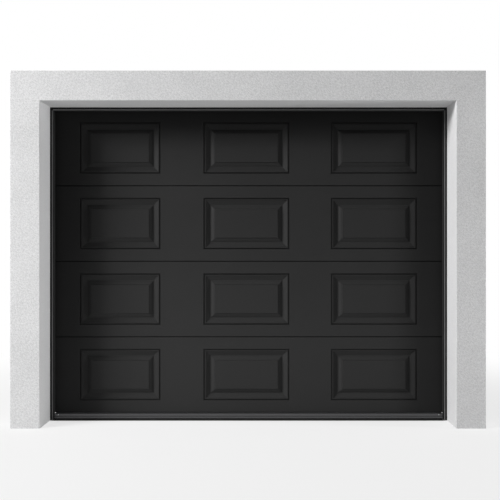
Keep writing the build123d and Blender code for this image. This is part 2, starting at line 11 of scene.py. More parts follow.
import bpy
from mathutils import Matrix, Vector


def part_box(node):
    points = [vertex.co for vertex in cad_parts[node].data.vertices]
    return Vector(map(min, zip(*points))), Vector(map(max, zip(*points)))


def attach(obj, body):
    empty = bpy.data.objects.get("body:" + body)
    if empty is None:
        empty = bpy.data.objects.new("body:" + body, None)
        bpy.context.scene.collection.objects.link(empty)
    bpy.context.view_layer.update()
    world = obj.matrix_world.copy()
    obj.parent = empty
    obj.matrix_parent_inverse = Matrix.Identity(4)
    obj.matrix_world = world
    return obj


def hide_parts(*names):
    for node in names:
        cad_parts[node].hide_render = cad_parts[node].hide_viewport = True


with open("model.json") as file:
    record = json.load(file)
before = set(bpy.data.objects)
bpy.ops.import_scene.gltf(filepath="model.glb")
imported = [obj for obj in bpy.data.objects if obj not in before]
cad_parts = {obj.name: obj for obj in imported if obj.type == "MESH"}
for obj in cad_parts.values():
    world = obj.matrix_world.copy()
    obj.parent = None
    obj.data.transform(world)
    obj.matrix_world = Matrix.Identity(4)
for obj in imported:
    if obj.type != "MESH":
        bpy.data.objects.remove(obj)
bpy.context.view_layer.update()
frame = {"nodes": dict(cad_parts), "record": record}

# %% [markdown]
# ## The camera first
# Straight lines that run into the picture meet at one point, a little right of the middle and a
# little low. That says that the camera looks square at the wall, from slightly right of its
# middle, and that the picture was cropped. A small lens shift makes the same crop without
# turning the camera, so upright lines stay upright.

# %% Camera
IMAGE_PIXELS = 500
CROP_X, CROP_Y = -10.5, 2.5
CAMERA_X, CAMERA_DISTANCE, CAMERA_HEIGHT = 0.084, 4.85, 1.1815
WALL_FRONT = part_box("lintel")[0][1]
camera_data = bpy.data.cameras.new("camera")
camera_data.lens = 52.05
camera_data.sensor_width = 36.0
camera_data.shift_x = CROP_X / IMAGE_PIXELS
camera_data.shift_y = CROP_Y / IMAGE_PIXELS
camera = bpy.data.objects.new("camera", camera_data)
camera.location = (CAMERA_X, WALL_FRONT - CAMERA_DISTANCE, CAMERA_HEIGHT)
camera.rotation_euler = (math.radians(90), 0, 0)
bpy.context.scene.collection.objects.link(camera)
bpy.context.scene.camera = camera
bpy.context.scene.view_settings.view_transform = "Standard"
print("camera stands", CAMERA_DISTANCE, "m in front of the wall")

# %% [markdown]
# ## Node trees that read like sums
# A finish is a small calculation that runs at every point of a surface. Wiring it by hand is slow
# to write and slower to read, so two small classes do the wiring. `Value` stands for one output
# socket. Python lets a class say what + and * mean for it, so a sum on values adds Math nodes, and
# `ramp` adds a smooth step between two limits.


# %% Value
class Value:
    """One output of a node. Sums on it add Math nodes to its tree."""

    def __init__(self, graph, node, output=0):
        self.graph, self.node, self.socket = graph, node, node.outputs[output]

    def out(self, output):
        return Value(self.graph, self.node, output)

    def math(self, operation, *others):
        values = dict(enumerate((self, *others)))
        return self.graph.add("ShaderNodeMath", {"operation": operation}, values)

    def __add__(self, other):
        return self.math("ADD", other)

    __radd__ = __add__

    def __mul__(self, other):
        return self.math("MULTIPLY", other)

    __rmul__ = __mul__

    def __sub__(self, other):
        return self.math("SUBTRACT", other)

    def __rsub__(self, other):
        return self * -1.0 + other

    def __truediv__(self, other):
        return self.math("DIVIDE", other)

    def ramp(self, low, high, start=0.0, stop=1.0):
        """Smooth step from start to stop as the value goes from low to high."""
        settings = {"interpolation_type": "SMOOTHSTEP"}
        values = {0: self, 1: low, 2: high, 3: start, 4: stop}
        return self.graph.add("ShaderNodeMapRange", settings, values)


# %% [markdown]
# ## One call for each node
# `Graph` adds any other node in one call: settings first, because a setting can change which
# sockets exist, then the values or links of its inputs. On top of that it knows the few things
# that nearly every finish wants: coordinates in metres, noise, cells, a tint and a bump. All
# patterns read Object coordinates, so they stay fixed to the piece, at true size.


# %% Graph
class Graph:
    """A node tree with one call that adds a node, sets it and links it."""

    def __init__(self, tree):
        self.tree = tree
        tree.nodes.clear()

    def add(self, kind, settings=None, values=None, output=0):
        node = self.tree.nodes.new(kind)
        for name, setting in (settings or {}).items():
            setattr(node, name, setting)
        for name, value in (values or {}).items():
            if isinstance(value, Value):
                self.tree.links.new(value.socket, node.inputs[name])
            else:
                node.inputs[name].default_value = value
        return Value(self, node, output) if node.outputs else node

    def place(self):
        return self.add("ShaderNodeTexCoord", output="Object")

    def axes(self):
        """X, Y and Z of the piece's own coordinates, in metres."""
        split = self.add("ShaderNodeSeparateXYZ", values={0: self.place()})
        return split, split.out(1), split.out(2)

    def noise(self, size, stretch=(1, 1, 1), detail=2.0, turn=0.0):
        """Noise whose features are about size metres across, stretched and turned about Y."""
        values = {
            "Vector": self.place(),
            "Rotation": (0.0, math.radians(turn), 0.0),
            "Scale": tuple(size * part for part in stretch),
        }
        fitted = self.add("ShaderNodeMapping", {"vector_type": "TEXTURE"}, values)
        values = {"Vector": fitted, "Scale": 1.0, "Detail": detail, "Roughness": 0.6}
        return self.add("ShaderNodeTexNoise", None, values)

    def cells(self, size):
        """A random colour for each Voronoi cell, about size metres across."""
        values = {"Vector": self.place(), "Scale": 1 / size}
        return self.add("ShaderNodeTexVoronoi", None, values, "Color")

    def blend(self, amount, low, high):
        """Colour mixed from two colours."""
        return self.add("ShaderNodeMix", {"data_type": "RGBA"}, {0: amount, 6: low, 7: high}, 2)

    def tint(self, amount, dark, light):
        """Colour between two fixed ones, given as red, green and blue."""
        return self.blend(amount, (*dark, 1.0), (*light, 1.0))

    def bump(self, height, distance, strength=1.0):
        values = {"Height": height, "Distance": distance, "Strength": strength}
        return self.add("ShaderNodeBump", None, values)


# %% [markdown]
# ## From a look to a material
# Each finish below is a function that returns what varies over the surface: colour, roughness and
# bump. `finish` wires that into the one shader that nearly everything solid can use, and sets what
# is the same all over on the shader itself. `dress` hands a finish to nodes of the model and
# leaves their meshes alone.


# %% Making and handing out finishes
def finish(name, build, **fixed):
    """A material: build(graph) gives what varies, and fixed holds what doesn't."""
    material = bpy.data.materials.new(name)
    material.use_nodes = True
    graph = Graph(material.node_tree)
    varying = build(graph)
    shader = graph.add("ShaderNodeBsdfPrincipled", None, {**fixed, **varying})
    graph.add("ShaderNodeOutputMaterial", None, {"Surface": shader})
    return material


def dress(material, *names):
    """Gives CAD nodes a finish, without touching their meshes."""
    for name in names:
        node = frame["nodes"][name]
        if not node.material_slots:
            node.data.materials.append(material)
        for place in node.material_slots:
            place.material = material
    print(material.name, "on", len(names), "nodes")


# %% [markdown]
# ## The rendered surround
# The piers and the lintel carry a fine scraped render: pale grey, dead matt, with grains of about
# 2 mm and soft blotches where the float dwelt. Two sizes of noise make the colour, and the fine
# one also lifts the surface through a Bump node. The sides of the opening are smoother than the
# face in such work, so the grain is weighted by how squarely a point faces the front.


# %% Render finish
def render_look(g):
    normal = g.add("ShaderNodeNewGeometry", output="Normal")
    facing = g.add("ShaderNodeSeparateXYZ", values={0: normal}, output=1).math("ABSOLUTE")
    coarse = 0.3 + 0.7 * facing
    blotch = g.noise(0.35, detail=2.0)
    crumb = g.noise(0.008, (0.8, 1.0, 1.7), detail=2.0, turn=-45)
    grain = g.noise(0.004, detail=2.0)
    mixed = (blotch * 0.12 + crumb * 0.6 + grain * 0.28 - 0.5) * coarse + 0.5
    colour = g.tint(mixed.ramp(0.28, 0.72), (0.55, 0.55, 0.555), (0.85, 0.85, 0.855))
    height = (crumb + grain * 0.5) * coarse
    return {
        "Base Color": colour,
        "Roughness": grain.ramp(0.2, 0.8, 0.85, 1.0),
        "Normal": g.bump(height, 0.003, 0.7),
    }


render_finish = finish("pale_render", render_look, **{"Specular IOR Level": 0.25})
dress(render_finish, "pier_left", "pier_right", "lintel")

# %% [markdown]
# ## Black paint on pressed steel
# The sections are steel sheet with a stoved black paint. It is satin, and the sheet under it is
# embossed with a very fine sand grain, which breaks up reflections. The black is paler towards the
# floor, which is painted light from the floor. It is darker close to both sides and the top, which
# is painted shadow that deepens the shadows the opening throws on the leaf. The inner sheet is a
# pale grey-white, as such doors have it. Both sheets belong to one solid, so the colour changes
# with depth instead of by piece.


# %% Leaf paint
LEAF_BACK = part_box("top_section")[1][1]
INNER_SHEET = 0.006
# Painted shadow: the leaf darkens across these spans of distance from the middle and of height, in
# metres.
PAINTED_SHADOW_SIDE = (0.95, 1.27)
PAINTED_SHADOW_TOP = (1.90, 2.13)


def door_look(g):
    grain = g.noise(0.0035, (1.6, 1, 1), detail=3.0)
    drift = g.noise(0.22, (2.2, 1, 1), detail=2.0)
    x, y, z = g.axes()
    # Painted shadow near both sides and the top of the leaf.
    side = x.math("ABSOLUTE").ramp(*PAINTED_SHADOW_SIDE)
    painted_edge_shadow = side.math("MAXIMUM", z.ramp(*PAINTED_SHADOW_TOP))
    # Painted light: the black grows paler towards the floor, as light from the floor would make
    # it.
    painted_floor_light = z.ramp(2.2, 0.0) * 0.3
    mottle = (grain * 0.6 + drift * 0.25).ramp(0.2, 0.7) * 0.25
    # Shade of the black: random mottle plus painted floor light and painted shadow.
    mottle_and_painted_light = mottle + painted_floor_light - painted_edge_shadow * 0.68 + 0.62
    black = g.tint(mottle_and_painted_light, (0.009,) * 3, (0.034,) * 3)
    pale = g.tint(mottle * 4.0, (0.55, 0.55, 0.53), (0.63, 0.63, 0.61))
    inner = y.ramp(LEAF_BACK - INNER_SHEET - 0.0005, LEAF_BACK - INNER_SHEET)
    return {
        "Base Color": g.blend(inner, black, pale),
        "Roughness": (grain * 0.5 + drift * 0.5).ramp(0.3, 0.7, 0.45, 0.58),
        "Normal": g.bump(grain, 0.0004, 0.6),
    }


door_paint = finish("door_black", door_look, **{"Specular IOR Level": 0.06})
dress(door_paint, "bottom_section", "lower_section", "upper_section", "top_section")

# %% [markdown]
# ## The frame and its bead
# The steel frame shows only as a narrow black band round the leaf, with one thin grey line in it.
# The grey line is the front of a folded bead: the foremost half millimetre of the frame, which
# depth picks out.


# %% Frame paint
BEAD_RISE = 0.006
FRAME_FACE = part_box("frame_head")[0][1] + BEAD_RISE
BEAD_EDGE = (FRAME_FACE - 0.0055, FRAME_FACE - 0.0050)


def frame_look(g):
    depth = g.axes()[1]
    bead = depth.ramp(*BEAD_EDGE, 1.0, 0.0)
    wear = g.noise(0.02, detail=3.0)
    black = g.tint(wear, (0.006,) * 3, (0.012,) * 3)
    grey = g.tint(wear, (0.12,) * 3, (0.16,) * 3)
    return {
        "Base Color": g.blend(bead, black, grey),
        "Roughness": wear.ramp(0.3, 0.7, 0.40, 0.52),
        "Normal": g.bump(g.noise(0.0035), 0.0003, 0.5),
    }


frame_paint = finish("frame_black", frame_look, **{"Specular IOR Level": 0.12})
dress(frame_paint, "frame_side_left", "frame_side_right", "frame_head")

# %% [markdown]
# ## The bottom rail and the rubber
# The rail is extruded aluminium with a dark anodised skin. Extrusion leaves fine lines along its
# length, so the noise is stretched a hundredfold along X. Rubber is matt and nearly black, with a
# faint dusty bloom that gathers unevenly.


# %% Rail and rubber finishes
def rail_look(g):
    lines = g.noise(0.0016, (120, 1, 1), detail=2.0)
    return {
        "Base Color": g.tint(lines, (0.055, 0.055, 0.057), (0.095, 0.095, 0.098)),
        "Roughness": lines.ramp(0.2, 0.8, 0.30, 0.45),
        "Normal": g.bump(lines, 0.0002, 0.5),
    }


def rubber_look(g):
    dust = g.noise(0.03, detail=4.0)
    return {
        "Base Color": g.tint(dust.ramp(0.4, 0.8), (0.010,) * 3, (0.022,) * 3),
        "Roughness": dust.ramp(0.2, 0.8, 0.65, 0.85),
        "Normal": g.bump(g.noise(0.002), 0.0003, 0.5),
    }


rail_finish = finish("dark_anodised", rail_look, Metallic=0.6)
rubber = finish("seal_rubber", rubber_look, **{"Specular IOR Level": 0.3})
dress(rail_finish, "bottom_rail")
dress(rubber, "side_seals", "head_seal", "bottom_seal")

# %% [markdown]
# ## Metals behind the leaf
# Tracks, hinges and brackets are hot-dip galvanised. The zinc freezes in flat crystals, the
# spangle, and each crystal mirrors the room at its own strength: Voronoi cells give every crystal
# one random shade and roughness. Pins, the shaft and the ropes are brighter zinc plate, with fine
# rub marks along X. The record says which node has which slot, so the finishes follow the record.


# %% Zinc finishes
def galvanised_look(g):
    shade = g.add("ShaderNodeSeparateColor", values={0: g.cells(0.011)})
    dull = g.noise(0.15, detail=3.0)
    mixed = shade * 0.6 + dull * 0.4
    return {
        "Base Color": g.tint(mixed, (0.40, 0.42, 0.43), (0.68, 0.70, 0.71)),
        "Roughness": mixed.ramp(0.1, 0.9, 0.50, 0.30),
        "Normal": g.bump(shade, 0.0002, 0.4),
    }


def plated_look(g):
    rub = g.noise(0.004, (6, 1, 1), detail=3.0)
    return {
        "Base Color": g.tint(rub, (0.50, 0.50, 0.49), (0.70, 0.70, 0.69)),
        "Roughness": rub.ramp(0.2, 0.8, 0.22, 0.38),
        "Normal": g.bump(rub, 0.0001, 0.4),
    }


galvanised = finish("galvanised", galvanised_look, Metallic=0.85)
plated = finish("zinc_plate", plated_look, Metallic=0.95)
slots = {}
for part in frame["record"]["subparts"]:
    slots.setdefault(part["material_slot"], []).append(part["node"])
dress(galvanised, *slots["galvanised_steel"])
dress(plated, *slots["bright_steel"])

# %% [markdown]
# ## Springs, castings and wheels
# The springs are dark oiled steel, and the oil lies in bands. Drums and cones are cast aluminium:
# a sandy skin with slow stains in it. The rollers' wheels are nylon, ivory when new and scuffed
# darker where they run, so the scuffs are both darker and rougher.


# %% Other finishes
def spring_look(g):
    oil = g.noise(0.02, (3, 1, 1), detail=3.0)
    return {
        "Base Color": g.tint(oil.ramp(0.3, 0.7), (0.045, 0.045, 0.05), (0.11, 0.108, 0.105)),
        "Roughness": oil.ramp(0.3, 0.7, 0.25, 0.5),
        "Normal": g.bump(oil, 0.0003, 0.3),
    }


def cast_look(g):
    sand = g.noise(0.0025, detail=4.0)
    stain = g.noise(0.05, detail=2.0)
    return {
        "Base Color": g.tint(sand * 0.5 + stain * 0.5, (0.42, 0.42, 0.43), (0.62, 0.62, 0.63)),
        "Roughness": sand.ramp(0.2, 0.8, 0.45, 0.65),
        "Normal": g.bump(sand, 0.0006, 0.6),
    }


def nylon_look(g):
    scuff = g.noise(0.006, detail=3.0)
    return {
        "Base Color": g.tint(scuff.ramp(0.35, 0.75), (0.78, 0.77, 0.72), (0.60, 0.58, 0.52)),
        "Roughness": scuff.ramp(0.2, 0.8, 0.40, 0.60),
        "Normal": g.bump(scuff, 0.0002, 0.4),
    }


spring_steel = finish("oiled_steel", spring_look, Metallic=0.8)
cast_metal = finish("cast_aluminium", cast_look, Metallic=0.8)
nylon = finish("nylon", nylon_look, **{"Specular IOR Level": 0.4})
dress(cast_metal, *slots["cast_aluminium"])
dress(nylon, *slots["nylon"])
dress(spring_steel, *slots["spring_steel"])

# %% [markdown]
# ## A bench for Geometry Nodes
# Screws, coils and rope strands repeat or follow a path, so each is a rule rather than a mesh. A
# geometry tree takes its sizes as named inputs, which makes one rule fit every size of screw. It
# ends by making instances real and giving them their finish, and the same `Graph` wires it.


# %% Geometry bench
def rule(name, sizes):
    """A geometry tree with a Geometry input, one float input per size, and an output."""
    tree = bpy.data.node_groups.new(name, "GeometryNodeTree")
    graph = Graph(tree)
    tree.interface.new_socket("Geometry", in_out="INPUT", socket_type="NodeSocketGeometry")
    for size in sizes:
        tree.interface.new_socket(size, in_out="INPUT", socket_type="NodeSocketFloat")
    tree.interface.new_socket("Geometry", in_out="OUTPUT", socket_type="NodeSocketGeometry")
    return graph, graph.add("NodeGroupInput")


def close_rule(graph, shape, material):
    """Ends a tree: real geometry, one finish, smooth or flat as it came."""
    real = graph.add("GeometryNodeRealizeInstances", None, {0: shape})
    values = {"Geometry": real, "Material": material}
    dressed = graph.add("GeometryNodeSetMaterial", None, values)
    graph.add("NodeGroupOutput", None, {0: dressed})
    return graph.tree


# %% [markdown]
# ## Running a rule
# The modifier knows an input only by its identifier, so `grow` looks each one up by its name and
# sets it before the tree is first worked out. It then keeps the result as a plain mesh, drops the
# modifier, and hangs the piece on the root body.


# %% Growing a piece
def grow(name, mesh, tree, sizes):
    """Runs a tree on a mesh and keeps the result as a finished piece."""
    piece = bpy.data.objects.new(name, mesh)
    bpy.context.scene.collection.objects.link(piece)
    modifier = piece.modifiers.new("rule", "NODES")
    modifier.node_group = tree
    for item in tree.interface.items_tree:
        if item.in_out == "INPUT" and item.name in sizes:
            modifier[item.identifier] = float(sizes[item.name])
    ready = piece.evaluated_get(bpy.context.evaluated_depsgraph_get())
    plain = bpy.data.meshes.new_from_object(ready)
    piece.modifiers.clear()
    piece.data = plain
    plain.name = name
    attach(piece, "root")
    print(name, "faces:", len(plain.polygons))
    return piece


def points_mesh(name, points, edges=()):
    mesh = bpy.data.meshes.new(name)
    mesh.from_pydata(points, edges, [])
    return mesh


# %% [markdown]
# ## Torsion springs
# The CAD holds each spring as a plain tube, because its hundred and more turns would swamp a
# solid model. Here each one is a real coil: the Spiral curve laid along the shaft, with a round
# wire swept along it. The pitch leaves a hair between turns. The two springs wind in opposite
# senses, as they must to push the same way.

# %% Spring coils
WIRE = 0.0058
PITCH = WIRE * 1.05
spring_low, spring_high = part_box("torsion_springs")
SHAFT_Y = (spring_low[1] + spring_high[1]) / 2
SHAFT_Z = (spring_low[2] + spring_high[2]) / 2
coil_radius = (spring_high[2] - spring_low[2]) / 2 - WIRE / 2
spring_start = 0.012
spring_length = spring_high[0] - spring_start
turns = int(spring_length / PITCH)
print("turns in each spring:", turns)

# %% [markdown]
# ## The coil as a rule
# The Spiral node grows a coil upwards. Turned by a right angle it lies along the shaft, and the
# left spring is turned the other way and reversed. A circle of eight points is the wire's cross
# section: at this size the eye can't count its sides.


# %% Coil rule
def coil_rule(name, backwards):
    sizes = ("Turns", "Radius", "Length", "Wire", "Start", "Shaft Y", "Shaft Z")
    g, given = rule(name, sizes)
    values = {
        "Resolution": 20,
        "Rotations": given.out("Turns"),
        "Start Radius": given.out("Radius"),
        "End Radius": given.out("Radius"),
        "Height": given.out("Length"),
        "Reverse": backwards,
    }
    spiral = g.add("GeometryNodeCurveSpiral", None, values)
    values = {0: given.out("Start"), 1: given.out("Shaft Y"), 2: given.out("Shaft Z")}
    place = g.add("ShaderNodeCombineXYZ", None, values)
    turn = (0.0, math.radians(-90 if backwards else 90), 0.0)
    values = {"Geometry": spiral, "Translation": place, "Rotation": turn}
    laid = g.add("GeometryNodeTransform", None, values)
    values = {"Resolution": 8, "Radius": given.out("Wire") * 0.5}
    wire = g.add("GeometryNodeCurvePrimitiveCircle", None, values)
    values = {"Curve": laid, "Profile Curve": wire, "Fill Caps": True}
    tube = g.add("GeometryNodeCurveToMesh", None, values)
    smooth = g.add("GeometryNodeSetShadeSmooth", None, {"Geometry": tube})
    return close_rule(g, smooth, spring_steel)


for side, backwards in (("right", False), ("left", True)):
    sign = -1 if backwards else 1
    sizes = {
        "Turns": turns,
        "Radius": coil_radius,
        "Length": spring_length - WIRE,
        "Wire": WIRE,
        "Start": sign * (spring_start + WIRE / 2),
        "Shaft Y": SHAFT_Y,
        "Shaft Z": SHAFT_Z,
    }
    seed = points_mesh("spring_seed_" + side, [(0, SHAFT_Y, SHAFT_Z)])
    winding = coil_rule("coil_" + side, backwards)
    coil = grow("spring_coil_" + side, seed, winding, sizes)
    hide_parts("torsion_springs")

# %% [markdown]
# ## Reading the model for places
# Screws and rivets sit on hinges and brackets, and each of those is one of several loose solids in
# a node. `solids` finds them: corners that share a face belong together, and each group gives its
# lowest and highest corner. So every fastener is placed from the model, not from written numbers.


# %% Loose solids of a node
KEYS_PER_METRE = 20000


def solids(name):
    """Lowest and highest corner of each loose solid in a CAD node."""
    mesh = frame["nodes"][name].data
    keys = [tuple(round(c * KEYS_PER_METRE) for c in corner.co) for corner in mesh.vertices]
    parent = {key: key for key in keys}

    def root(key):
        while parent[key] != key:
            parent[key] = parent[parent[key]]
            key = parent[key]
        return key

    for face in mesh.polygons:
        first = root(keys[face.vertices[0]])
        for corner in face.vertices[1:]:
            parent[root(keys[corner])] = first
    boxes = {}
    for corner, key in zip(mesh.vertices, keys):
        low, high = boxes.setdefault(root(key), ([math.inf] * 3, [-math.inf] * 3))
        for axis, value in enumerate(corner.co):
            low[axis] = min(low[axis], value)
            high[axis] = max(high[axis], value)
    return sorted(boxes.values())


for name in ("hinge_upper_leaves", "roller_brackets"):
    print(name, "has", len(solids(name)), "solids")

# %% [markdown]
# ## Screws, bolts and rivets
# The fittings are held by hexagon-head screws with a washer under the head, and the caps by domed
# rivets. One rule makes each kind: it puts a small head on every point, tips it to face the right
# way and spins it by a random angle, since no fitter leaves all the flats in line. The three
# helpers here seat the heads, lift a shape along its axis and join shapes.


# %% Helpers for heads
def seat(g, heads, given):
    """Puts heads on the points, tipped towards their axis and spun at random."""
    tip = g.add("ShaderNodeCombineXYZ", None, {0: given.out("Tip"), 1: given.out("Swing")})
    values = {"Points": given, "Instance": heads, "Rotation": tip}
    placed = g.add("GeometryNodeInstanceOnPoints", None, values)
    spin = g.add("FunctionNodeRandomValue", None, {2: 0.0, 3: math.tau, "Seed": 7}, 1)
    angle = g.add("ShaderNodeCombineXYZ", None, {2: spin})
    return g.add("GeometryNodeRotateInstances", None, {"Instances": placed, "Rotation": angle})


def lifted(g, mesh, height):
    rise = g.add("ShaderNodeCombineXYZ", None, {2: height})
    return g.add("GeometryNodeTransform", None, {"Geometry": mesh, "Translation": rise})


def join(g, *pieces):
    whole = g.add("GeometryNodeJoinGeometry")
    for piece in pieces:
        g.tree.links.new(piece.socket, whole.node.inputs[0])
    return whole


# %% [markdown]
# ## Two kinds of head
# A hexagon head is a washer, six sides and a smaller six-sided top, which gives the slope that
# such heads have round their upper edge. A rivet is a ball pressed flat. They have 28 and 60
# faces, enough for things a few millimetres across that occur by the dozen.


# %% Head rules
def hexagon_rule():
    g, given = rule("hexagon_head", ("Radius", "Height", "Tip", "Swing"))
    radius, height = given.out("Radius"), given.out("Height")
    thin = height * 0.3
    values = {"Vertices": 12, "Radius": radius * 1.35, "Depth": thin}
    washer = g.add("GeometryNodeMeshCylinder", None, values)
    values = {"Vertices": 6, "Radius Top": radius, "Radius Bottom": radius, "Depth": height}
    body = g.add("GeometryNodeMeshCone", {"fill_type": "NONE"}, values)
    values.update({"Radius Top": radius * 0.8, "Depth": height * 0.2})
    top = g.add("GeometryNodeMeshCone", {"fill_type": "NGON"}, values)
    heads = join(g, washer, lifted(g, body, thin * 0.5), lifted(g, top, height + thin * 0.5))
    return close_rule(g, seat(g, heads, given), plated)


def dome_rule():
    g, given = rule("dome_head", ("Radius", "Height", "Tip", "Swing"))
    radius, height = given.out("Radius"), given.out("Height")
    values = {"Segments": 10, "Rings": 6, "Radius": radius}
    ball = g.add("GeometryNodeMeshUVSphere", None, values)
    flat = g.add("ShaderNodeCombineXYZ", None, {0: 1.0, 1: 1.0, 2: height / radius})
    dome = g.add("GeometryNodeTransform", None, {"Geometry": ball, "Scale": flat})
    smooth = g.add("GeometryNodeSetShadeSmooth", None, {"Geometry": dome})
    return close_rule(g, seat(g, smooth, given), galvanised)


hexagon, dome = hexagon_rule(), dome_rule()

# %% [markdown]
# ## Fastening
# `fasten` takes a list of places, the way the heads face and a size. A facing is two turns, about
# X and then about Y, that tip a head from upright. A size is the radius and the height of a head:
# of small screws, bolts, set screws, rivets and domed screws.


# %% Fasten
FACING = {"+Y": (-90, 0), "-Y": (90, 0), "+X": (0, 90), "-X": (0, -90), "+Z": (0, 0)}
SCREW = (0.0045, 0.0045)
BOLT = (0.0065, 0.0055)
GRUB = (0.0045, 0.007)
RIVET = (0.0038, 0.0016)
DOMED_SCREW = (0.0035, 0.0018)


def fasten(name, head, places, facing, size):
    """Heads at places, all facing one way."""
    tip, swing = (math.radians(angle) for angle in FACING[facing])
    radius, height = size
    sizes = {"Radius": radius, "Height": height, "Tip": tip, "Swing": swing}
    return grow(name, points_mesh(name + "_places", places), head, sizes)


# %% [markdown]
# ## Where the fasteners go
# A hinge leaf takes four screws and a bracket four. The heads sit on the plate, so Y comes from
# the plate's back and its thickness. An upper leaf is screwed above its pin and a lower leaf below
# it, so the rows are counted from the end that lies away from the pin.

# %% Screws on the leaf
PLATE = 0.003
hinge_places = []
for node, sense in (("hinge_upper_leaves", 1), ("hinge_lower_leaves", -1)):
    for low, high in solids(node):
        middle = (low[0] + high[0]) / 2
        outer = high[2] if sense > 0 else low[2]
        for x in (middle - 0.018, middle + 0.018):
            for drop in (0.013, 0.036):
                hinge_places.append((x, low[1] + PLATE, outer - sense * drop))
fasten("hinge_screws", hexagon, hinge_places, "+Y", SCREW)

bracket_places = []
insets = {"roller_brackets": 0.008, "top_brackets": 0.010, "bottom_brackets": 0.012}
for node, inset in insets.items():
    for low, high in solids(node):
        side = math.copysign(1, low[0])
        edge = low[0] if side > 0 else high[0]
        for across in (0.013, 0.037):
            for z in (low[2] + inset, high[2] - inset):
                bracket_places.append((edge + side * across, low[1] + PLATE, z))
fasten("bracket_screws", hexagon, bracket_places, "+Y", SCREW)

# %% [markdown]
# ## Rivets in the caps and stiles
# The caps and the stiles are riveted to the leaf, five rivets to a section. A cap has its one row
# at the edge away from the track, and a stile has a row at each edge. Half of each flattened ball
# lies inside the sheet, so no light shows under the head.

# %% Rivets
RIVETS = 5
END_GAP = 0.08
rivet_places = []
insets = {"end_caps_left": 0.0055, "end_caps_right": 0.0055, "centre_stiles": 0.009}
for node, inset in insets.items():
    for low, high in solids(node):
        edges = [low[0] + inset, high[0] - inset]
        if node == "end_caps_left":
            edges = edges[1:]
        if node == "end_caps_right":
            edges = edges[:1]
        pitch = (high[2] - low[2] - 2 * END_GAP) / (RIVETS - 1)
        for step in range(RIVETS):
            z = low[2] + END_GAP + step * pitch
            rivet_places += [(x, high[1] - 0.0001, z) for x in edges]
fasten("cap_rivets", dome, rivet_places, "+Y", RIVET)

# %% [markdown]
# ## Bolts on the tracks
# Each track bracket has one bolt into the frame and one into the track, and the tall end plates
# have three and two. Along the level track the bolts go through the support angle. Heads on the
# right and on the left face opposite ways, so they are gathered by the way they face.

# %% Bracket and track bolts
FOOT_Y = 0.0185
LEG_X = 0.017
LEG_Y = 0.037
ANGLE_BOLTS = 5
ANGLE_GAP = 0.15
angle_low, angle_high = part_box("support_angles")
LEVEL_Z = (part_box("horizontal_track_right")[1][2] + angle_low[2]) / 2
shares = {"track_brackets": (0.5,), "end_plates": (0.12, 0.5, 0.88)}
leg_bolts = {"track_brackets": (0.017,), "end_plates": (0.24, 0.31)}
inward, outward = {"+X": [], "-X": []}, {"+X": [], "-X": []}
for node, heights in shares.items():
    for low, high in solids(node):
        side = 1 if low[0] > 0 else -1
        inner, outer = ("-X", "+X") if side > 0 else ("+X", "-X")
        foot = (high[0] if side > 0 else low[0]) - side * PLATE
        for share in heights:
            inward[inner].append((foot, low[1] + FOOT_Y, low[2] + share * (high[2] - low[2])))
        leg = side * (abs(foot) + PLATE - LEG_X)
        z = (low[2] + high[2]) / 2 if node == "track_brackets" else LEVEL_Z
        outward[outer] += [(leg, low[1] + LEG_Y + reach, z) for reach in leg_bolts[node]]
pitch = (angle_high[1] - angle_low[1] - 2 * ANGLE_GAP) / (ANGLE_BOLTS - 1)
for step in range(ANGLE_BOLTS):
    y = angle_low[1] + ANGLE_GAP + step * pitch
    outward["+X"].append((angle_high[0], y, LEVEL_Z))
    outward["-X"].append((angle_low[0], y, LEVEL_Z))
fasten("foot_bolts_left", hexagon, inward["+X"], "+X", BOLT)
fasten("foot_bolts_right", hexagon, inward["-X"], "-X", BOLT)
fasten("track_bolts_right", hexagon, outward["+X"], "+X", BOLT)
fasten("track_bolts_left", hexagon, outward["-X"], "-X", BOLT)

# %% [markdown]
# ## Bolts on the crossbar
# The tracks hang at the back from a crossbar on two straps. One bolt goes down through the bar
# into each support angle, and one goes through each strap into the bar.

# %% Crossbar bolts
bar_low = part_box("rear_crossbar")[0]
hanger_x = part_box("rear_hangers")[1][0] - LEG_X
bar_places = [(x, bar_low[1] + 0.025, bar_low[2] + PLATE) for x in (-hanger_x, hanger_x)]
strap_places = [(x, bar_low[1] - PLATE, bar_low[2] + 0.022) for x in (-hanger_x, hanger_x)]
fasten("crossbar_bolts", hexagon, bar_places, "+Z", BOLT)
fasten("strap_bolts", hexagon, strap_places, "-Y", BOLT)

# %% [markdown]
# ## Bolts and set screws at the shaft
# The centre bracket is a plate with a bolt in each corner. Drums and winding cones grip the shaft
# by two set screws each, a quarter turn apart, near the end where their hub stands free. The
# bottom rail has one domed screw near each of its ends.

# %% Shaft bolts
CENTRE_PLATE = 0.005
plate_low, plate_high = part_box("centre_bracket")
plate_places = [
    (x, plate_low[1] + CENTRE_PLATE, z)
    for x in (plate_low[0] + 0.014, plate_high[0] - 0.014)
    for z in (plate_low[2] + 0.016, plate_high[2] - 0.016)
]
fasten("plate_bolts", hexagon, plate_places, "+Y", BOLT)
hubs = {"cable_drums": (1, 0.005, 0.024), "winding_cones": (-1, 0.010, 0.022)}
grips = []
for node, (sense, inset, radius) in hubs.items():
    for low, high in solids(node):
        at_low_end = low[0] * sense > 0
        grips.append((low[0] + inset if at_low_end else high[0] - inset, radius))
top_grips = [(x, SHAFT_Y, SHAFT_Z + radius) for x, radius in grips]
back_grips = [(x, SHAFT_Y + radius, SHAFT_Z) for x, radius in grips]
fasten("set_screws_top", hexagon, top_grips, "+Z", GRUB)
fasten("set_screws_back", hexagon, back_grips, "+Y", GRUB)
rail_low, rail_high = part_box("bottom_rail")
RAIL_INSET = 0.0275
rail_ends = [
    (x, rail_low[1], rail_low[2] + 0.027)
    for x in (rail_low[0] + RAIL_INSET, rail_high[0] - RAIL_INSET)
]
fasten("rail_screws", dome, rail_ends, "-Y", DOMED_SCREW)

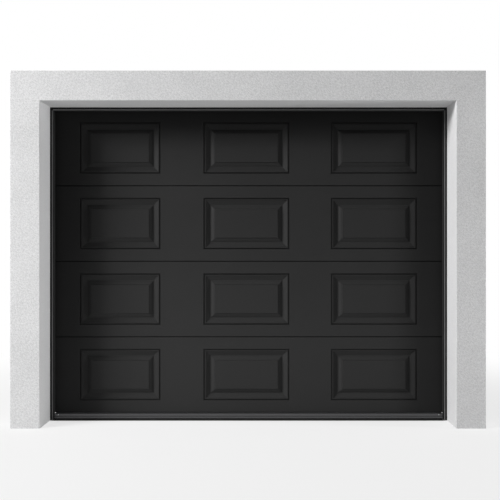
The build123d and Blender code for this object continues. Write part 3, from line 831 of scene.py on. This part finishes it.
# %% [markdown]
# ## Lift ropes
# The ropes are steel wire, six strands laid round each other. Each starts in an eye on the pin of
# the bottom bracket, is clamped in an oval sleeve, rises to its drum and winds on. The path is the
# middle of the rope: a tail and an eye drawn in Y and Z, a straight rise, and a screw line round
# the drum whose pitch is a little more than the rope is thick.

# %% Rope path
ROPE = 0.0015
ROPE_X = (solids("lift_cables")[-1][0][0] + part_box("lift_cables")[1][0]) / 2
PIN_Y, PIN_Z = 0.045, 0.092
EYE = 0.0060
PINCH = 0.0225
SLEEVE = (0.114, 0.130)
DRUM = SHAFT_Y - PIN_Y
EYE_STEPS, RISE_STEPS, TURN_STEPS = 24, 40, 60
DRUM_TURNS = 2.25
DRUM_PITCH = ROPE * 2.15


def rope_path(side):
    """Tail, eye round the pin, straight rise and two and a quarter turns on the drum."""
    tail_y = PIN_Y + 2 * ROPE + 0.0003
    points = [(tail_y, z) for z in (SLEEVE[1] + 0.004, SLEEVE[1], SLEEVE[0])]
    lean = math.degrees(math.acos(EYE / PINCH))
    stop = 90 + lean
    start = 82 - lean
    for step in range(EYE_STEPS + 1):
        angle = math.radians(start - step * (start + 360 - stop) / EYE_STEPS)
        points.append((PIN_Y + EYE * math.cos(angle), PIN_Z + EYE * math.sin(angle)))
    points += [(PIN_Y, z) for z in SLEEVE]
    path = [(side * ROPE_X, y, z) for y, z in points]
    rise = (SHAFT_Z - SLEEVE[1]) / RISE_STEPS
    path += [(side * ROPE_X, PIN_Y, SLEEVE[1] + rise * (step + 1)) for step in range(RISE_STEPS)]
    for step in range(int(TURN_STEPS * DRUM_TURNS)):
        turn = (step + 1) / TURN_STEPS
        angle = math.pi - turn * math.tau
        x = side * (ROPE_X + turn * DRUM_PITCH)
        path.append((x, SHAFT_Y + DRUM * math.cos(angle), SHAFT_Z + DRUM * math.sin(angle)))
    return path


steps = zip(rope_path(1), rope_path(1)[1:])
print("each rope is", round(sum(math.dist(*step) for step in steps), 3), "m long")

# %% [markdown]
# ## Laying the strands
# The rule cuts the path into even steps, copies it six times and pushes each copy sideways by an
# offset that turns as the rope goes on, so the strands twist round each other. The offset is built
# from two directions square to the path: the curve's normal, and the normal crossed with the
# tangent. A thin round tube on every copy makes the strand.


# %% Rope rule
STRANDS = 6


def rope_rule():
    g, given = rule("laid_rope", ("Rope radius", "Lay", "Step"))
    centre = g.add("GeometryNodeMeshToCurve", None, {0: given})
    values = {"Curve": centre, "Length": given.out("Step")}
    even = g.add("GeometryNodeResampleCurve", {"mode": "LENGTH"}, values)
    values = {"Geometry": even, "Amount": STRANDS}
    copies = g.add("GeometryNodeDuplicateElements", {"domain": "SPLINE"}, values)
    along = g.add("GeometryNodeSplineParameter", output="Length")
    share = copies.out("Duplicate Index") * (math.tau / STRANDS)
    angle = share + along / given.out("Lay") * math.tau
    normal = g.add("GeometryNodeInputNormal")
    tangent = g.add("GeometryNodeInputTangent")
    across = g.add("ShaderNodeVectorMath", {"operation": "CROSS_PRODUCT"}, {0: tangent, 1: normal})
    reach = given.out("Rope radius") * (2 / 3)
    one = {0: normal, 3: angle.math("COSINE") * reach}
    two = {0: across, 3: angle.math("SINE") * reach}
    first = g.add("ShaderNodeVectorMath", {"operation": "SCALE"}, one)
    second = g.add("ShaderNodeVectorMath", {"operation": "SCALE"}, two)
    offset = g.add("ShaderNodeVectorMath", {"operation": "ADD"}, {0: first, 1: second})
    strands = g.add("GeometryNodeSetPosition", None, {"Geometry": copies, "Offset": offset})
    round_wire = {"Resolution": 6, "Radius": given.out("Rope radius") / 3}
    profile = g.add("GeometryNodeCurvePrimitiveCircle", None, round_wire)
    values = {"Curve": strands, "Profile Curve": profile, "Fill Caps": True}
    tubes = g.add("GeometryNodeCurveToMesh", None, values)
    smooth = g.add("GeometryNodeSetShadeSmooth", None, {"Geometry": tubes})
    return close_rule(g, smooth, plated)


rope = rope_rule()
sizes = {"Rope radius": ROPE, "Lay": 0.028, "Step": 0.004}
for side, sign in (("right", 1), ("left", -1)):
    path = rope_path(sign)
    links = [(index, index + 1) for index in range(len(path) - 1)]
    line = points_mesh("path_" + side, path, links)
    laid = grow("lift_rope_" + side, line, rope, sizes)
    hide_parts("lift_cables")

# %% [markdown]
# ## Sleeves
# The sleeve is a short oval tube, pressed shut over the two legs of the rope. It is a stack of
# oval rings joined by faces, with the end rings drawn in a little as the press leaves them.

# %% Rope sleeves
SIDES = 20
SLEEVE_X, SLEEVE_Y = 0.0030, 0.0050
low_end, high_end = SLEEVE
rings = ((low_end, 0.88), (low_end + 0.001, 1.0), (high_end - 0.001, 1.0), (high_end, 0.88))
corners, faces = [], []
for sign in (1, -1):
    base = len(corners)
    for z, share in rings:
        for step in range(SIDES):
            angle = step * math.tau / SIDES
            x = sign * ROPE_X + SLEEVE_X * share * math.cos(angle)
            corners.append((x, PIN_Y + ROPE + SLEEVE_Y * share * math.sin(angle), z))
    for ring in range(3):
        for step in range(SIDES):
            here, along = base + ring * SIDES + step, base + ring * SIDES + (step + 1) % SIDES
            faces.append((here, along, along + SIDES, here + SIDES))
    faces.append(tuple(base + step for step in reversed(range(SIDES))))
    faces.append(tuple(base + 3 * SIDES + step for step in range(SIDES)))
sleeve_mesh = bpy.data.meshes.new("rope_sleeves")
sleeve_mesh.from_pydata(corners, [], faces)
sleeve_mesh.materials.append(cast_metal)
sleeves = bpy.data.objects.new("rope_sleeves", sleeve_mesh)
bpy.context.scene.collection.objects.link(sleeves)
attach(sleeves, "root")
print("sleeves:", len(faces), "faces")

# %% [markdown]
# ## The lip of the bottom seal, a painted shadow
# A thin dark line lies on the floor in front of the rail. It is drawn as a rubber lip out from the
# seal, lying flat on the floor: a dark sheet put where the contact shadow at the foot of the leaf
# falls, so it is painted shade in the form of a part. It is one flat wedge, so its cross section
# is written as four points and carried along X from one end of the seal to the other.

# %% Seal lip, painted shadow
seal_low, seal_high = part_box("bottom_seal")
LIP_REACH = 0.030
LIP_ROOT, LIP_EDGE, LIP_UNDERSIDE = 0.003, 0.0012, 0.0004
root_y, edge_y = seal_low[1] + 0.002, seal_low[1] - LIP_REACH
lip_section = [
    (root_y, LIP_UNDERSIDE),
    (edge_y, LIP_UNDERSIDE),
    (edge_y, LIP_EDGE),
    (root_y, LIP_ROOT),
]
lip_ends = (seal_low[0] + 0.001, seal_high[0] - 0.001)
lip_points = [(x, y, z) for x in lip_ends for y, z in lip_section]
lip_faces = [(0, 1, 2, 3), (7, 6, 5, 4), (0, 4, 5, 1), (1, 5, 6, 2), (2, 6, 7, 3), (3, 7, 4, 0)]
# The lip is a dark rubber sheet where the contact shadow falls: painted shade.
lip_mesh = bpy.data.meshes.new("seal_lip_painted_shadow")
lip_mesh.from_pydata(lip_points, [], lip_faces)
lip_mesh.materials.append(rubber)
shadow_lip = bpy.data.objects.new("seal_lip_painted_shadow", lip_mesh)
bpy.context.scene.collection.objects.link(shadow_lip)
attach(shadow_lip, "root")
print("lip reaches", LIP_REACH, "m in front of the seal")

# %% [markdown]
# ## Floor
# The floor is a stage, not part of the door: one plain sheet, pale and matt, that takes the
# shadow. A white glow is mixed into it and grows with distance, so no horizon shows. Only rays
# from the camera, or by way of a mirror or glass, meet the glow: it puts no light on the door.
# Right under the leaf it is left out, so that the gap there stays dark.


# %% Floor
def seen(g):
    """1 for rays of the camera, a mirror or glass, and 0 for all others."""
    ray = g.add("ShaderNodeLightPath", output="Is Camera Ray")
    mirrored = ray.math("MAXIMUM", ray.out("Is Glossy Ray"))
    return mirrored.math("MAXIMUM", ray.out("Is Transmission Ray"))


FLOOR_HALF = 7.0
FLOOR_GREY = 0.72
floor_mesh = bpy.data.meshes.new("floor")
quarters = ((-1, -1), (1, -1), (1, 1), (-1, 1))
floor_corners = [(x * FLOOR_HALF, y * FLOOR_HALF, 0) for x, y in quarters]
floor_mesh.from_pydata(floor_corners, [], [(0, 1, 2, 3)])
floor = bpy.data.objects.new("floor", floor_mesh)
bpy.context.scene.collection.objects.link(floor)
floor_material = bpy.data.materials.new("pale_floor")
floor_material.use_nodes = True
g = Graph(floor_material.node_tree)
x, y, z = g.axes()
away = g.add("ShaderNodeVectorMath", {"operation": "LENGTH"}, {0: g.place()}, "Value")
inside = x.math("ABSOLUTE").ramp(1.42, 1.38) * y.ramp(-0.10, -0.06)
glow = away.ramp(1.9, 4.2, FLOOR_GREY, 1.0) * (1.0 - inside)
matt = g.add("ShaderNodeBsdfDiffuse", None, {"Color": (FLOOR_GREY, FLOOR_GREY, FLOOR_GREY, 1)})
white = g.add("ShaderNodeEmission", None, {"Strength": 1.0})
mixed = g.add("ShaderNodeMixShader", None, {0: glow * seen(g), 1: matt, 2: white})
g.add("ShaderNodeOutputMaterial", None, {"Surface": mixed})
floor_mesh.materials.append(floor_material)
print("floor is", 2 * FLOOR_HALF, "m wide")

# %% [markdown]
# ## Background
# The background is white to the camera and to mirrors, and nearly dark to everything else, so the
# shadows stay deep. As on the floor, the strength depends on the kind of ray.

# %% World
AMBIENT = 0.05
world = bpy.data.worlds.new("studio")
bpy.context.scene.world = world
world.use_nodes = True
g = Graph(world.node_tree)
values = {"Color": (1, 1, 1, 1), "Strength": seen(g) * (1 - AMBIENT) + AMBIENT}
back = g.add("ShaderNodeBackground", None, values)
g.add("ShaderNodeOutputWorld", None, {"Surface": back})
print("background lights the door with", AMBIENT, "and the camera sees it at 1")

# %% [markdown]
# ## Four softboxes
# The key is a square softbox, high and far to the left and in front of the wall, so the left side
# of the opening and the lintel throw the two soft shadows that the leaf shows. A narrow one at the
# right lights the right side of the opening, a small one on the ground lifts the soffit, and the
# last stands behind, for views of the back. The camera doesn't see them.


# %% Lamps
def softbox(name, place, aim, width, height, watts):
    """A rectangular lamp that looks from place towards aim."""
    lamp = bpy.data.lights.new(name, "AREA")
    lamp.shape = "RECTANGLE"
    lamp.size, lamp.size_y, lamp.energy = width, height, watts
    thing = bpy.data.objects.new(name, lamp)
    thing.visible_camera = False
    thing.location = place
    track = [a - p for a, p in zip(aim, place)]
    tilt = math.atan2(math.hypot(track[0], track[1]), -track[2])
    thing.rotation_euler = (tilt, 0, math.atan2(-track[0], track[1]))
    bpy.context.scene.collection.objects.link(thing)
    print(name, "at", place)


softbox("key", (-7.8, -3.85, 5.3), (-0.3, 0, 1.2), 3.0, 3.0, 1030)
softbox("right_fill", (6.8, -1.05, 1.5), (-1.4, -0.2, 1.2), 0.6, 2.6, 265)
softbox("low_fill", (0.0, -1.1, 0.12), (0, -0.25, 2.2), 2.6, 0.3, 4)
softbox("back_fill", (0.6, 4.8, 1.9), (0, 0, 1.3), 3.0, 1.6, 110)
